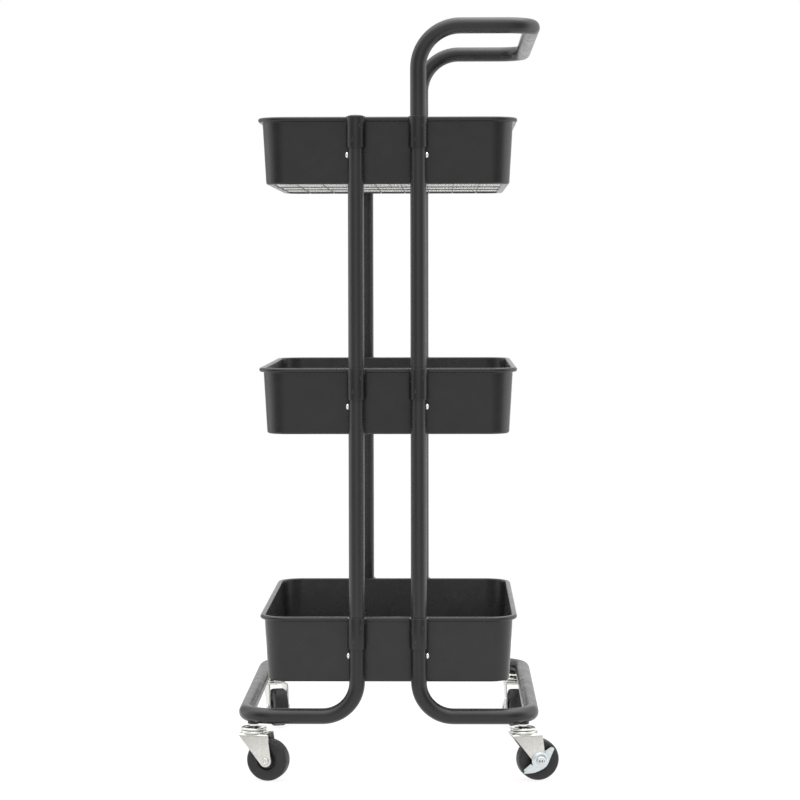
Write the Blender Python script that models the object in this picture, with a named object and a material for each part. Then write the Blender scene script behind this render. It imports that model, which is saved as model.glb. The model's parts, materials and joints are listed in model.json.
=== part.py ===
"""Rolling pantry cart: three deep metal trays on a bent tube frame with four swivel casters.

Metres, +Z up, the floor at z = 0.  X runs across the cart, from the plain side (left) to the
handle side (right).  Y runs along the trays, from the front end to the rear end.  The origin is
on the floor under the middle of the whole footprint, casters included.

The tube frame comes apart into sections.  Each upright has a necked spigot at its lower end that
slips into the tube below, inside a tray collar, and a pan-head screw under the collar locks it.
The upper right uprights have another at their top, which the push handle slips over.
"""

import math

import bmesh
import bpy
from mathutils import Matrix, Vector

# Fits
GAP = 0.0003

# Tube frame
TUBE_RADIUS = 0.0095
TUBE_WALL = 0.0012
TUBE_SIDES = 12
UPRIGHT_X = 0.037
UPRIGHT_Y = 0.1975
BASE_TUBE_Z = 0.0785
BASE_BAR_X = 0.1720
BASE_LEG_BEND = 0.0415
BASE_CORNER_BEND = 0.035
HANDLE_Z = 0.9005
HANDLE_BAR_X = 0.1725
HANDLE_LEG_BEND = 0.050
HANDLE_CORNER_BEND = 0.032
BEND_STEPS = 4
SPIGOT_LENGTH = 0.045

# Trays
TRAY_RIM_Z = {"bottom": 0.1970, "middle": 0.4955, "top": 0.7940}
TRAY_HEIGHT = 0.0795
TRAY_HALF_X = 0.150
TRAY_HALF_Y = 0.187
TRAY_CORNER = 0.028
TRAY_CORNER_STEPS = 4
TRAY_DRAFT = 0.004
TRAY_SHEET = 0.0010
TRAY_FOOT_RADIUS = 0.0030
TRAY_FLANGE = 0.006
RIM_BEAD_RADIUS = 0.0023
RIM_BEAD_OUT = 0.0032
RIM_FLARE_DEPTH = 0.0070
COLLAR_RADIUS = 0.011
COLLAR_HEIGHT = 0.037

# Tray floors
FLOOR_SHEET = 0.0012
FLOOR_INSET = 0.0086
WIRE_WIDTH = 0.0025
WIRE_PITCH_X = 0.0314
WIRES_LENGTHWISE = 8
WIRE_PITCH_Y = 0.094
WIRES_ACROSS = 3

# Screws
SCREW_BELOW_COLLAR = 0.0085
SCREW_HEAD_RADIUS = 0.0039
SCREW_HEAD_HEIGHT = 0.0030
SCREW_SHANK_RADIUS = 0.0020
SCREW_SHANK_LENGTH = 0.0070
SCREW_SIDES = 8

# End plugs of the two left uprights
PLUG_HEAD_HEIGHT = 0.0014
PLUG_STEM_LENGTH = 0.010

# Casters.  In a caster's own frame the swivel axis is Z, the wheel trails towards +X and the
# axle lies along Y; a brake lever is on the -Y side.
WHEEL_RADIUS = 0.025
WHEEL_HALF_WIDTH = 0.0100
HUB_HALF_WIDTH = 0.0110
HUB_RADIUS = 0.0085
WEB_RECESS = 0.0015
TREAD_EDGE = 0.0022
WHEEL_SIDES = 20
CASTER_TRAIL = 0.018
FORK_LEG_INNER = 0.0115
FORK_SHEET = 0.0020
FORK_TOP_Z = 0.0575
FORK_BACK_X = -0.0155
FORK_FRONT_X = 0.0205
FORK_PLATE_FRONT_X = 0.0165
FORK_FOOT_RADIUS = 0.0070
RACE_RADIUS = 0.0156
RACE_RIM_HEIGHT = 0.0022
LOWER_RACE_TOP_Z = 0.0607
UPPER_RACE_TOP_Z = 0.0662
RACE_SIDES = 12
STEM_RADIUS = 0.0040
STEM_BOSS_RADIUS = 0.0055
STEM_TOP_Z = 0.081
RIVET_RADIUS = 0.0060
RIVET_HEIGHT = 0.0020
SOCKET_BOTTOM_Z = 0.0680
SOCKET_FLANGE_RADIUS = 0.0075
SOCKET_NECK_RADIUS = 0.0057
SOCKET_TOP_Z = 0.082
AXLE_RADIUS = 0.0030
AXLE_HEAD_RADIUS = 0.0045
AXLE_HEAD_HEIGHT = 0.0012
AXLE_SIDES = 8
LEVER_SHEET = 0.0015
LEVER_BOSS_RADIUS = 0.0105
LEVER_BOSS_ARC = (58, 205)
LEVER_LOW_ARM = [(-0.0200, -0.0132), (-0.0200, -0.0148), (-0.0065, -0.0146)]
LEVER_BELLY_CENTRE = (-0.0010, -0.0010)
LEVER_BELLY_RADIUS = 0.0125
LEVER_BELLY_ARC = (-78, -8)
LEVER_HIGH_ARM = [(0.0192, 0.0118), (0.0170, 0.0156)]

# Which way each wheel trails from its swivel axis, in degrees from +X, and whether it has a brake.
CASTERS = {
    "front_left": (-1, -1, -13.0, False),
    "front_right": (1, -1, 12.0, True),
    "rear_left": (-1, 1, -73.0, False),
    "rear_right": (1, 1, -86.0, True),
}

# Derived places
TUBE_BORE = TUBE_RADIUS - TUBE_WALL
SPIGOT_RADIUS = TUBE_BORE - GAP
SPIGOT_BORE = SPIGOT_RADIUS - TUBE_WALL
HOLE_CLEARANCE = GAP
SCREW_DROP = COLLAR_HEIGHT + SCREW_BELOW_COLLAR
SECTION_JOINT_Z = {tray: rim - COLLAR_HEIGHT / 2 for tray, rim in TRAY_RIM_Z.items()}
CORNER_45 = BASE_CORNER_BEND * (1 - math.sqrt(0.5))
CASTER_X = BASE_BAR_X - CORNER_45
CASTER_Y = UPRIGHT_Y - CORNER_45
FORK_LEG_OUTER = FORK_LEG_INNER + FORK_SHEET
SIDES = {"left": -1, "right": 1}
ENDS = {"front": -1, "rear": 1}


def footprint_centre_x():
    """Middle of the footprint: the left base bar to the outermost wheel, which trails outwards."""
    x_sign, _, trail_angle, _ = CASTERS["front_right"]
    angle = math.radians(trail_angle)
    tread_half_width = WHEEL_HALF_WIDTH - TREAD_EDGE
    wheel_reach = (CASTER_TRAIL + WHEEL_RADIUS) * math.cos(angle) + tread_half_width * math.sin(angle)
    return (x_sign * CASTER_X + wheel_reach - BASE_BAR_X - TUBE_RADIUS) / 2


# Scene helpers


def clear_scene():
    for leftover in list(bpy.data.objects):
        bpy.data.objects.remove(leftover, do_unlink=True)


def finish(name, colour, roughness, metallic):
    """A Principled material for one kind of surface."""
    material = bpy.data.materials.new(name)
    material.use_nodes = True
    shader = material.node_tree.nodes["Principled BSDF"]
    shader.inputs["Base Color"].default_value = (*colour, 1.0)
    shader.inputs["Roughness"].default_value = roughness
    shader.inputs["Metallic"].default_value = metallic
    return material


def mesh_from(bm, name, material):
    """Closes a bmesh into a mesh with outward faces and smooth round sides."""
    bmesh.ops.remove_doubles(bm, verts=bm.verts, dist=1e-6)
    bmesh.ops.recalc_face_normals(bm, faces=bm.faces)
    mesh = bpy.data.meshes.new(name)
    bm.to_mesh(mesh)
    bm.free()
    mesh.materials.append(material)
    mesh.shade_smooth()
    mesh.set_sharp_from_angle(angle=math.radians(35))
    return mesh


def place(name, mesh, parent, location=(0, 0, 0), rotation_z=0.0):
    piece = bpy.data.objects.new(name, mesh)
    bpy.context.scene.collection.objects.link(piece)
    piece.parent = parent
    piece.location = location
    piece.rotation_euler = (0, 0, rotation_z)
    return piece


def empty(name, parent=None, location=(0, 0, 0), rotation_z=0.0):
    marker = place(name, None, parent, location, rotation_z)
    marker.empty_display_size = 0.03
    return marker


def combine(piece, tool_mesh, operation):
    """Cuts or joins a tool into a piece with a Boolean modifier."""
    tool = place(f"{piece.name}_{operation.lower()}_tool", tool_mesh, piece)
    tool.hide_render = True
    tool.display_type = "WIRE"
    boolean = piece.modifiers.new(operation.title(), "BOOLEAN")
    boolean.operation = operation
    boolean.solver = "EXACT"
    boolean.object = tool


# Shape helpers


def turned(profile, sides, phase=0.0):
    """A body turned about Z from a closed outline of (radius, z) points."""
    bm = bmesh.new()
    verts = [bm.verts.new((radius, 0, z)) for radius, z in profile]
    edges = [bm.edges.new((a, b)) for a, b in zip(verts, verts[1:] + verts[:1])]
    bmesh.ops.rotate(bm, verts=verts, cent=(0, 0, 0), matrix=Matrix.Rotation(phase, 3, "Z"))
    bmesh.ops.spin(bm, geom=verts + edges, cent=(0, 0, 0), axis=(0, 0, 1),
                   angle=math.tau, steps=sides, use_merge=True)
    bmesh.ops.remove_doubles(bm, verts=bm.verts, dist=1e-6)
    bmesh.ops.dissolve_degenerate(bm, dist=1e-6, edges=bm.edges)
    return bm


def pin(bm, start, end, radius, sides, phase=0.0):
    """Adds a solid round pin from start to end."""
    axis = Vector(end) - Vector(start)
    turn = axis.to_track_quat("Z", "X").to_matrix().to_4x4() @ Matrix.Rotation(phase, 4, "Z")
    middle = Matrix.Translation((Vector(start) + Vector(end)) / 2)
    bmesh.ops.create_cone(bm, cap_ends=True, segments=sides, radius1=radius, radius2=radius,
                          depth=axis.length, matrix=middle @ turn)


def slab(outline, thickness):
    """A flat plate: an outline of (x, y) points at z = 0, thickened upwards."""
    bm = bmesh.new()
    face = bm.faces.new([bm.verts.new((x, y, 0)) for x, y in outline])
    grown = bmesh.ops.extrude_face_region(bm, geom=[face])
    moved = [item for item in grown["geom"] if isinstance(item, bmesh.types.BMVert)]
    bmesh.ops.translate(bm, verts=moved, vec=(0, 0, thickness))
    return bm


def arc(centre, radius, start, end, steps):
    """Points on an arc, angles in degrees."""
    angles = [math.radians(start + (end - start) * step / steps) for step in range(steps + 1)]
    return [(centre[0] + radius * math.cos(a), centre[1] + radius * math.sin(a)) for a in angles]


def rounded_rectangle(half_x, half_y, radius, steps):
    """Outline points of a rectangle with round corners, anticlockwise from the +X side."""
    points = []
    for x_sign, y_sign, start in ((1, 1, 0), (-1, 1, 90), (-1, -1, 180), (1, -1, 270)):
        centre = (x_sign * (half_x - radius), y_sign * (half_y - radius))
        points += arc(centre, radius, start, start + 90, steps)
    return points


def bent_path(corners, bends, steps):
    """Points and directions along straight runs joined by round bends at the inner corners."""
    corners = [Vector(corner) for corner in corners]
    first = (corners[1] - corners[0]).normalized()
    path = [(corners[0], first)]
    for before, corner, after, bend in zip(corners, corners[1:], corners[2:], bends):
        inward = (corner - before).normalized()
        outward = (after - corner).normalized()
        reach = bend * math.tan(inward.angle(outward) / 2)
        axis = inward.cross(outward).normalized()
        centre = corner - inward * reach + axis.cross(inward) * bend
        for step in range(steps + 1):
            turn = Matrix.Rotation(inward.angle(outward) * step / steps, 3, axis)
            path.append((centre + turn @ (corner - inward * reach - centre), turn @ inward))
    path.append((corners[-1], (corners[-1] - corners[-2]).normalized()))
    return path


def swept_skin(bm, path, radius, sides, side_axis):
    """Rings along a path, joined by faces; side_axis is square to the first direction."""
    rings = []
    across = Vector(side_axis)
    for point, direction in path:
        across = (across - direction * across.dot(direction)).normalized()
        over = direction.cross(across)
        angles = [math.tau * side / sides for side in range(sides)]
        rings.append([
            bm.verts.new(point + (across * math.cos(a) + over * math.sin(a)) * radius) for a in angles
        ])
    for lower, upper in zip(rings, rings[1:]):
        for side in range(sides):
            following = (side + 1) % sides
            bm.faces.new((lower[side], lower[following], upper[following], upper[side]))
    return rings[0], rings[-1]


def join_rings(bm, outer, inner):
    """Closes the flat end of a tube between its outer and its inner ring."""
    for side in range(len(outer)):
        following = (side + 1) % len(outer)
        bm.faces.new((outer[side], outer[following], inner[following], inner[side]))


# Tube frame


def bent_tube(corners, bends):
    """A hollow bent tube with open ends."""
    bm = bmesh.new()
    path = bent_path(corners, bends, BEND_STEPS)
    outer = swept_skin(bm, path, TUBE_RADIUS, TUBE_SIDES, (0, 1, 0))
    inner = swept_skin(bm, path, TUBE_BORE, TUBE_SIDES, (0, 1, 0))
    for outer_ring, inner_ring in zip(outer, inner):
        join_rings(bm, outer_ring, inner_ring)
    return bm


def upright_section(length, spigot_above):
    """A straight section standing on z = 0, with its spigot below and, if asked, another above."""
    profile = [
        (TUBE_RADIUS, length), (TUBE_RADIUS, 0), (SPIGOT_RADIUS, 0), (SPIGOT_RADIUS, -SPIGOT_LENGTH),
        (SPIGOT_BORE, -SPIGOT_LENGTH), (SPIGOT_BORE, 0), (TUBE_BORE, TUBE_WALL),
    ]
    if spigot_above:
        tip = length + SPIGOT_LENGTH
        profile += [(TUBE_BORE, length - TUBE_WALL), (SPIGOT_BORE, length), (SPIGOT_BORE, tip),
                    (SPIGOT_RADIUS, tip), (SPIGOT_RADIUS, length)]
    else:
        profile.append((TUBE_BORE, length))
    return turned(profile, TUBE_SIDES, math.pi / 2)


def screw_hole(bm, x, y, z, side):
    """A hole through the outer wall of a tube, for the screw that locks a section."""
    radius = SCREW_SHANK_RADIUS + HOLE_CLEARANCE
    pin(bm, (x, y, z), (x + side * 2 * TUBE_RADIUS, y, z), radius, SCREW_SIDES)


def base_tube(side_name, side, frame, steel):
    """Legs up to the bottom tray, runs out to the sides, and the long bar between the casters."""
    top = SECTION_JOINT_Z["bottom"] - GAP
    leg_x = side * UPRIGHT_X
    bar_x = side * BASE_BAR_X
    corners = [
        (leg_x, -UPRIGHT_Y, top), (leg_x, -UPRIGHT_Y, BASE_TUBE_Z), (bar_x, -UPRIGHT_Y, BASE_TUBE_Z),
        (bar_x, UPRIGHT_Y, BASE_TUBE_Z), (leg_x, UPRIGHT_Y, BASE_TUBE_Z), (leg_x, UPRIGHT_Y, top),
    ]
    bends = [BASE_LEG_BEND, BASE_CORNER_BEND, BASE_CORNER_BEND, BASE_LEG_BEND]
    tube = place(f"base_tube_{side_name}", mesh_from(bent_tube(corners, bends), "base_tube", steel), frame)
    holes = bmesh.new()
    for end in ENDS.values():
        screw_hole(holes, leg_x, end * UPRIGHT_Y, TRAY_RIM_Z["bottom"] - SCREW_DROP, side)
        caster = (side * CASTER_X, end * CASTER_Y)
        pin(holes, (*caster, SOCKET_BOTTOM_Z - TUBE_WALL), (*caster, BASE_TUBE_Z),
            SOCKET_NECK_RADIUS + GAP, RACE_SIDES)
    combine(tube, mesh_from(holes, "base_tube_holes", steel), "DIFFERENCE")


def uprights(frame, steel):
    """The straight sections between the trays, eight in all."""
    spans = {"lower": ("bottom", "middle"), "upper": ("middle", "top")}
    for span_name, (below, above) in spans.items():
        foot_z = SECTION_JOINT_Z[below]
        for end_name, end in ENDS.items():
            for side_name, side in SIDES.items():
                ends_at_rim = span_name == "upper" and side_name == "left"
                top_z = TRAY_RIM_Z["top"] if ends_at_rim else SECTION_JOINT_Z[above] - GAP
                carries_handle = span_name == "upper" and side_name == "right"
                mesh = mesh_from(upright_section(top_z - foot_z, carries_handle), "upright", steel)
                name = f"upright_{span_name}_{end_name}_{side_name}"
                piece = place(name, mesh, frame, (side * UPRIGHT_X, end * UPRIGHT_Y, foot_z))
                holes = bmesh.new()
                for tray in (below, above):
                    screw_hole(holes, 0, 0, TRAY_RIM_Z[tray] - SCREW_DROP - foot_z, side)
                combine(piece, mesh_from(holes, "upright_holes", steel), "DIFFERENCE")


def handle_tube(frame, steel):
    """The push handle: one tube, slipped over both right uprights, that rises and turns outwards."""
    foot_z = SECTION_JOINT_Z["top"]
    corners = [
        (UPRIGHT_X, -UPRIGHT_Y, foot_z), (UPRIGHT_X, -UPRIGHT_Y, HANDLE_Z),
        (HANDLE_BAR_X, -UPRIGHT_Y, HANDLE_Z), (HANDLE_BAR_X, UPRIGHT_Y, HANDLE_Z),
        (UPRIGHT_X, UPRIGHT_Y, HANDLE_Z), (UPRIGHT_X, UPRIGHT_Y, foot_z),
    ]
    bends = [HANDLE_LEG_BEND, HANDLE_CORNER_BEND, HANDLE_CORNER_BEND, HANDLE_LEG_BEND]
    place("handle_tube", mesh_from(bent_tube(corners, bends), "handle", steel), frame)


def end_plugs(frame, plastic):
    """Low domed plugs that close the tops of the two left uprights."""
    seat = GAP
    stem_radius = TUBE_BORE - GAP
    dome = [(TUBE_RADIUS, seat), (TUBE_RADIUS, seat + PLUG_HEAD_HEIGHT * 0.4),
            (TUBE_RADIUS * 0.8, seat + PLUG_HEAD_HEIGHT * 0.85), (0, seat + PLUG_HEAD_HEIGHT)]
    profile = dome + [(0, -PLUG_STEM_LENGTH), (stem_radius, -PLUG_STEM_LENGTH), (stem_radius, seat)]
    for end_name, end in ENDS.items():
        mesh = mesh_from(turned(profile, TUBE_SIDES, math.pi / 2), "end_plug", plastic)
        place(f"end_plug_{end_name}", mesh, frame, (-UPRIGHT_X, end * UPRIGHT_Y, TRAY_RIM_Z["top"]))


def screws(frame, zinc):
    """Twelve pan-head screws, one under every collar, on the outer side of its upright."""
    seat = TUBE_RADIUS + GAP
    profile = [
        (0, seat + SCREW_HEAD_HEIGHT), (SCREW_HEAD_RADIUS * 0.65, seat + SCREW_HEAD_HEIGHT * 0.85),
        (SCREW_HEAD_RADIUS, seat + SCREW_HEAD_HEIGHT * 0.35), (SCREW_HEAD_RADIUS, seat),
        (SCREW_SHANK_RADIUS, seat), (SCREW_SHANK_RADIUS, seat - SCREW_SHANK_LENGTH),
        (0, seat - SCREW_SHANK_LENGTH),
    ]
    for side_name, side in SIDES.items():
        shape = turned(profile, SCREW_SIDES)
        bmesh.ops.rotate(shape, verts=shape.verts, cent=(0, 0, 0),
                         matrix=Matrix.Rotation(side * math.pi / 2, 3, "Y"))
        mesh = mesh_from(shape, "screw", zinc)
        for tray, rim_z in TRAY_RIM_Z.items():
            for end_name, end in ENDS.items():
                spot = (side * UPRIGHT_X, end * UPRIGHT_Y, rim_z - SCREW_DROP)
                place(f"screw_{tray}_{end_name}_{side_name}", mesh, frame, spot)


# Trays


def tray_profile():
    """Closed section of the tray wall: (offset from the wall outline, height from the rim top)."""
    foot_z = -TRAY_HEIGHT
    foot_offset = -TRAY_DRAFT
    bead = (RIM_BEAD_OUT, -RIM_BEAD_RADIUS)
    inner_radius = TRAY_FOOT_RADIUS - TRAY_SHEET
    foot_centre = (foot_offset - TRAY_FOOT_RADIUS, foot_z + TRAY_FOOT_RADIUS)
    flange_edge = foot_centre[0] - TRAY_FLANGE
    rim = [(-TRAY_SHEET, -RIM_FLARE_DEPTH * 0.5), (0.0, 0.0), *arc(bead, RIM_BEAD_RADIUS, 90, -90, 3)]
    flare = [(TRAY_SHEET * 0.6, -RIM_FLARE_DEPTH * 0.7), (0.0, -RIM_FLARE_DEPTH)]
    foot = arc(foot_centre, TRAY_FOOT_RADIUS, 0, -90, 2)
    flange = [(flange_edge, foot_z), (flange_edge, foot_z + TRAY_SHEET)]
    inside = arc(foot_centre, inner_radius, -90, 0, 2)
    return rim + flare + foot + flange + inside


def tray_body():
    """The pressed tray without its collars: the wall section carried round the outline."""
    bm = bmesh.new()
    rings = []
    for offset, z in tray_profile():
        outline = rounded_rectangle(TRAY_HALF_X + offset, TRAY_HALF_Y + offset,
                                    TRAY_CORNER + offset, TRAY_CORNER_STEPS)
        rings.append([bm.verts.new((x, y, z)) for x, y in outline])
    for ring, following in zip(rings, rings[1:] + rings[:1]):
        join_rings(bm, ring, following)
    return bm


def collar_pins(radius, extra):
    """Four upright pins where the collars are."""
    bm = bmesh.new()
    for end in ENDS.values():
        for side in SIDES.values():
            x, y = side * UPRIGHT_X, end * UPRIGHT_Y
            pin(bm, (x, y, -COLLAR_HEIGHT - extra), (x, y, extra), radius, TUBE_SIDES, math.pi / 2)
    return bm


def trays(frame, steel):
    """Three pressed trays, each with four collars welded to its short walls."""
    for tray, rim_z in TRAY_RIM_Z.items():
        piece = place(f"tray_{tray}", mesh_from(tray_body(), "tray", steel), frame, (0, 0, rim_z))
        combine(piece, mesh_from(collar_pins(COLLAR_RADIUS, 0), "collars", steel), "UNION")
        bore = collar_pins(TUBE_RADIUS + GAP, TRAY_SHEET)
        combine(piece, mesh_from(bore, "collar_bores", steel), "DIFFERENCE")


def floor_panels(frame, steel):
    """The mesh floor of each tray, a thin panel lying on the tray's inner flange."""
    outline = rounded_rectangle(TRAY_HALF_X - FLOOR_INSET, TRAY_HALF_Y - FLOOR_INSET,
                                TRAY_CORNER - FLOOR_INSET, TRAY_CORNER_STEPS)
    mesh = mesh_from(slab(outline, FLOOR_SHEET), "mesh_floor", steel)
    for tray, rim_z in TRAY_RIM_Z.items():
        place(f"mesh_floor_{tray}", mesh, frame, (0, 0, rim_z - TRAY_HEIGHT + TRAY_SHEET + GAP))


def centred_steps(count, pitch):
    return [(index - (count - 1) / 2) * pitch for index in range(count)]


def lattice(xs, ys, half_x, half_y, width):
    """A flat grid of square bars: lengthwise bars at xs, cross bars at ys."""
    half = width / 2
    x_lines = [-half_x, *[edge for x in xs for edge in (x - half, x + half)], half_x]
    y_lines = [-half_y, *[edge for y in ys for edge in (y - half, y + half)], half_y]
    bm = bmesh.new()
    corners = {}
    for column, (x0, x1) in enumerate(zip(x_lines, x_lines[1:])):
        for row, (y0, y1) in enumerate(zip(y_lines, y_lines[1:])):
            if column % 2 == 0 and row % 2 == 0:
                continue
            loop = []
            for x, y in ((x0, y0), (x1, y0), (x1, y1), (x0, y1)):
                loop.append(corners.setdefault((x, y), bm.verts.new((x, y, 0))))
            bm.faces.new(loop)
    loose = [vert for vert in bm.verts if not vert.link_faces]
    bmesh.ops.delete(bm, geom=loose, context="VERTS")
    grown = bmesh.ops.extrude_face_region(bm, geom=list(bm.faces))
    moved = [item for item in grown["geom"] if isinstance(item, bmesh.types.BMVert)]
    bmesh.ops.translate(bm, verts=moved, vec=(0, 0, width))
    return bm


def support_grids(frame, steel):
    """The welded grid of wires under each mesh floor, inside the flange."""
    inset = TRAY_DRAFT + TRAY_FOOT_RADIUS + TRAY_FLANGE + GAP
    xs = centred_steps(WIRES_LENGTHWISE, WIRE_PITCH_X)
    ys = centred_steps(WIRES_ACROSS, WIRE_PITCH_Y)
    bars = lattice(xs, ys, TRAY_HALF_X - inset, TRAY_HALF_Y - inset, WIRE_WIDTH)
    mesh = mesh_from(bars, "support_grid", steel)
    for tray, rim_z in TRAY_RIM_Z.items():
        place(f"support_grid_{tray}", mesh, frame, (0, 0, rim_z - TRAY_HEIGHT + TRAY_SHEET - WIRE_WIDTH))


# Casters


def caster_socket(steel):
    """The threaded socket let into the underside of the base tube."""
    bore = STEM_RADIUS + GAP
    flange_top = BASE_TUBE_Z - TUBE_RADIUS - GAP
    profile = [
        (bore, SOCKET_BOTTOM_Z), (SOCKET_FLANGE_RADIUS, SOCKET_BOTTOM_Z), (SOCKET_FLANGE_RADIUS, flange_top),
        (SOCKET_NECK_RADIUS, flange_top), (SOCKET_NECK_RADIUS, SOCKET_TOP_Z), (bore, SOCKET_TOP_Z),
    ]
    return mesh_from(turned(profile, AXLE_SIDES), "caster_socket", steel)


def caster_stem(zinc):
    """Stem, upper race and riveted kingpin, all fixed to the frame."""
    rivet_top = FORK_TOP_Z - 1.25 * FORK_SHEET - GAP
    rivet_bottom = rivet_top - RIVET_HEIGHT
    race_bottom = LOWER_RACE_TOP_Z + GAP
    boss_top = SOCKET_BOTTOM_Z - GAP
    profile = [
        (0, rivet_bottom), (RIVET_RADIUS * 0.83, rivet_bottom), (RIVET_RADIUS, rivet_top),
        (STEM_RADIUS, rivet_top), (STEM_RADIUS, race_bottom), (RACE_RADIUS, race_bottom),
        (RACE_RADIUS, race_bottom + RACE_RIM_HEIGHT), (RACE_RADIUS * 0.78, UPPER_RACE_TOP_Z),
        (STEM_BOSS_RADIUS, UPPER_RACE_TOP_Z), (STEM_BOSS_RADIUS * 0.9, boss_top),
        (STEM_RADIUS, boss_top), (STEM_RADIUS, STEM_TOP_Z), (0, STEM_TOP_Z),
    ]
    return mesh_from(turned(profile, RACE_SIDES), "caster_stem", zinc)


def fork_leg_outline():
    """Side view of a fork leg: wide at the top, round at the axle."""
    foot = (CASTER_TRAIL, WHEEL_RADIUS)
    back = (FORK_BACK_X, FORK_TOP_Z)
    slope = math.degrees(math.atan2(back[1] - foot[1], back[0] - foot[0]))
    reach = math.dist(back, foot)
    tangent = math.degrees(math.acos(FORK_FOOT_RADIUS / reach))
    round_foot = arc(foot, FORK_FOOT_RADIUS, slope + tangent, 365, 6)
    return [(FORK_FRONT_X, FORK_TOP_Z), back, *round_foot]


def caster_fork(zinc):
    """Lower race, top plate and two legs, pressed from one sheet."""
    bm = bmesh.new()
    outline = fork_leg_outline()
    for inner, outer in ((-FORK_LEG_INNER, -FORK_LEG_OUTER), (FORK_LEG_INNER, FORK_LEG_OUTER)):
        rings = [[bm.verts.new((x, y, z)) for x, z in outline] for y in (inner, outer)]
        join_rings(bm, *rings)
        bm.faces.new(rings[0])
        bm.faces.new(rings[1])
    return mesh_from(bm, "fork_legs", zinc)


def fork_plate():
    """Top plate between the legs, a little inside their edges so that the pieces join cleanly."""
    bm = bmesh.new()
    inset = FORK_SHEET / 4
    across = FORK_LEG_INNER + FORK_SHEET / 2
    middle = Vector(((FORK_BACK_X + FORK_PLATE_FRONT_X) / 2, 0, FORK_TOP_Z - FORK_SHEET / 2 - inset))
    size = Matrix.Diagonal((FORK_PLATE_FRONT_X - FORK_BACK_X - 2 * inset, 2 * across, FORK_SHEET, 1))
    bmesh.ops.create_cube(bm, size=1, matrix=Matrix.Translation(middle) @ size)
    return bm


def caster_axle(reach_brake, reach_plain, zinc):
    """Axle rivet along Y with a head outside each leg."""
    profile = [
        (0, reach_plain + AXLE_HEAD_HEIGHT), (AXLE_HEAD_RADIUS * 0.7, reach_plain + AXLE_HEAD_HEIGHT),
        (AXLE_HEAD_RADIUS, reach_plain), (AXLE_RADIUS, reach_plain), (AXLE_RADIUS, -reach_brake),
        (AXLE_HEAD_RADIUS, -reach_brake), (AXLE_HEAD_RADIUS * 0.7, -reach_brake - AXLE_HEAD_HEIGHT),
        (0, -reach_brake - AXLE_HEAD_HEIGHT),
    ]
    bm = turned(profile, AXLE_SIDES)
    bmesh.ops.rotate(bm, verts=bm.verts, cent=(0, 0, 0), matrix=Matrix.Rotation(-math.pi / 2, 3, "X"))
    return mesh_from(bm, "caster_axle", zinc)


def caster_wheel(rubber):
    """One-piece wheel with a hub, turned about Y; its flat facets touch the floor."""
    tread = WHEEL_RADIUS / math.cos(math.pi / WHEEL_SIDES)
    bore = AXLE_RADIUS + GAP
    half = [
        (bore, HUB_HALF_WIDTH), (HUB_RADIUS, HUB_HALF_WIDTH), (tread * 0.62, WHEEL_HALF_WIDTH - WEB_RECESS),
        (tread - TREAD_EDGE, WHEEL_HALF_WIDTH), (tread, WHEEL_HALF_WIDTH - TREAD_EDGE),
    ]
    profile = half + [(radius, -along) for radius, along in reversed(half)]
    bm = turned(profile, WHEEL_SIDES, math.pi / WHEEL_SIDES)
    bmesh.ops.rotate(bm, verts=bm.verts, cent=(0, 0, 0), matrix=Matrix.Rotation(-math.pi / 2, 3, "X"))
    return mesh_from(bm, "caster_wheel", rubber)


def brake_lever(zinc):
    """A stamped two-armed lever that turns on the axle outside the fork leg."""
    boss = arc((0, 0), LEVER_BOSS_RADIUS, *LEVER_BOSS_ARC, 6)
    belly = arc(LEVER_BELLY_CENTRE, LEVER_BELLY_RADIUS, *LEVER_BELLY_ARC, 4)
    bm = slab(boss + LEVER_LOW_ARM + belly + LEVER_HIGH_ARM, LEVER_SHEET)
    bmesh.ops.rotate(bm, verts=bm.verts, cent=(0, 0, 0), matrix=Matrix.Rotation(math.pi / 2, 3, "X"))
    bmesh.ops.translate(bm, verts=bm.verts, vec=(0, -FORK_LEG_OUTER - GAP, 0))
    return mesh_from(bm, "brake_lever", zinc)


def axle_hole(reach, material):
    """A cutter along Y for the axle."""
    bm = bmesh.new()
    pin(bm, (0, -reach, 0), (0, reach, 0), AXLE_RADIUS + GAP, AXLE_SIDES)
    return mesh_from(bm, "axle_hole", material)


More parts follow.
